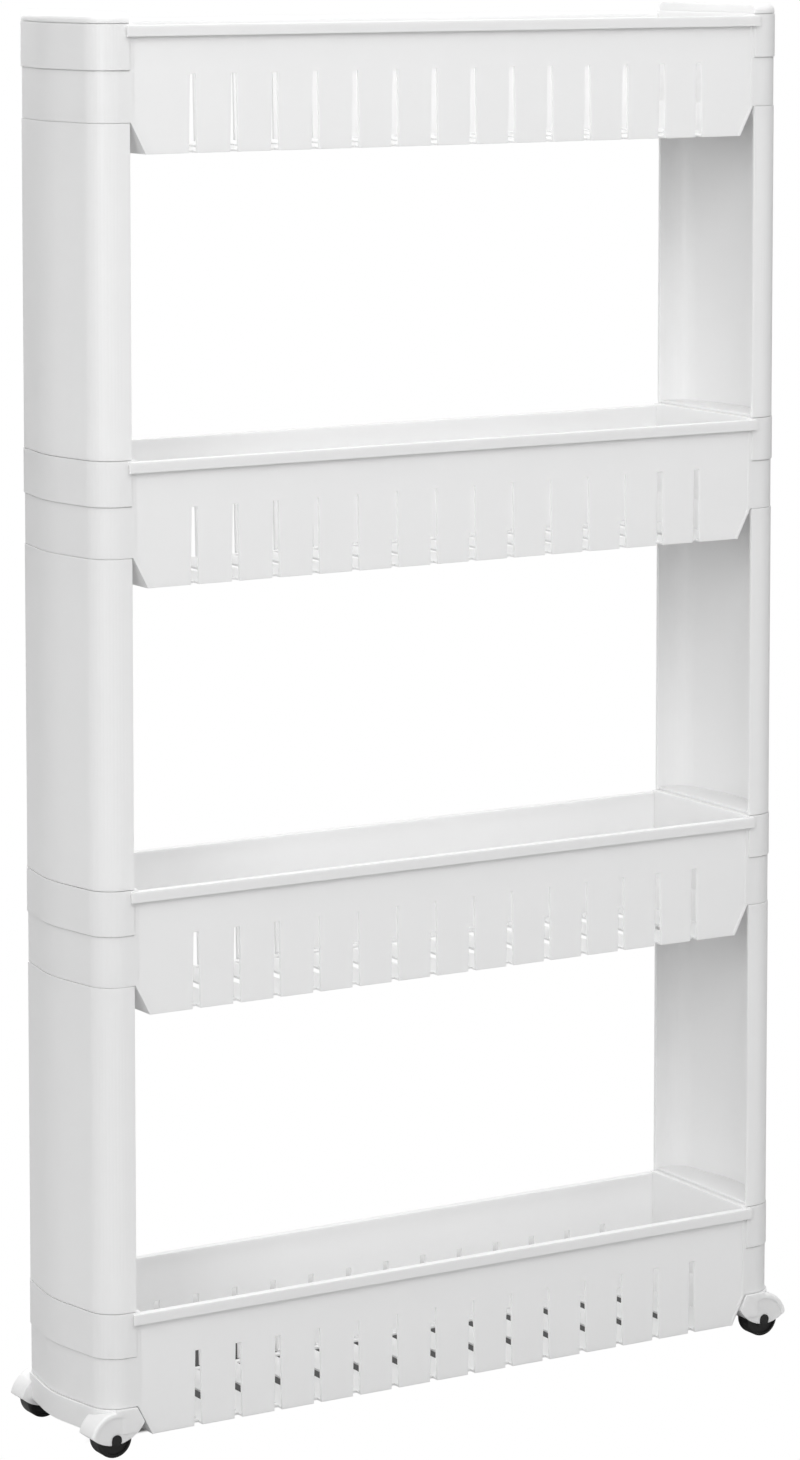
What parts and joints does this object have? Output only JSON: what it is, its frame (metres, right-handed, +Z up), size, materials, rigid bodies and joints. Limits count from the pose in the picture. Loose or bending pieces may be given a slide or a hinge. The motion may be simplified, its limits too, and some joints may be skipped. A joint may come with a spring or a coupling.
{
  "type": "rolling pantry cart",
  "caption": "Slim slide-out kitchen cart: slotted trays stacked on C-channel end columns, with rounded top caps and small fixed wheels under each end.",
  "frame": {"origin": "on the floor under the centre of the cart, where the wheels touch", "axes": "+X along the trays (the way the cart rolls), +Y across the cart, +Z up"},
  "size_m": [0.5952, 0.1304, 1.0095],
  "materials": {
    "white_plastic": "satin, moulded",
    "black_plastic": "moulded, slightly glossy"
  },
  "bodies": {
    "cart": {"tray_bottom": "white_plastic", "tray_lower": "white_plastic", "tray_upper": "white_plastic", "tray_top": "white_plastic", "column_left_lower": "white_plastic", "column_left_middle": "white_plastic", "column_left_upper": "white_plastic", "column_right_lower": "white_plastic", "column_right_middle": "white_plastic", "column_right_upper": "white_plastic", "top_cap_left": "white_plastic", "top_cap_right": "white_plastic", "wheel_bracket_left": "white_plastic", "wheel_bracket_right": "white_plastic", "axle_front_left": "black_plastic", "axle_front_right": "black_plastic", "axle_rear_left": "black_plastic", "axle_rear_right": "black_plastic"},
    "wheel_front_left_body": {"wheel_front_left": "black_plastic"},
    "wheel_front_right_body": {"wheel_front_right": "black_plastic"},
    "wheel_rear_left_body": {"wheel_rear_left": "black_plastic"},
    "wheel_rear_right_body": {"wheel_rear_right": "black_plastic"}
  },
  "joints": [
    {"name": "wheel_front_left_spin", "type": "hinge", "parent": "cart", "child": "wheel_front_left_body", "pos_m": [-0.278, -0.0538, 0.0134], "axis": [0, 1, 0], "continuous": true},
    {"name": "wheel_front_right_spin", "type": "hinge", "parent": "cart", "child": "wheel_front_right_body", "pos_m": [0.278, -0.0538, 0.0134], "axis": [0, 1, 0], "continuous": true},
    {"name": "wheel_rear_left_spin", "type": "hinge", "parent": "cart", "child": "wheel_rear_left_body", "pos_m": [-0.278, 0.0538, 0.0134], "axis": [0, 1, 0], "continuous": true},
    {"name": "wheel_rear_right_spin", "type": "hinge", "parent": "cart", "child": "wheel_rear_right_body", "pos_m": [0.278, 0.0538, 0.0134], "axis": [0, 1, 0], "continuous": true}
  ]
}
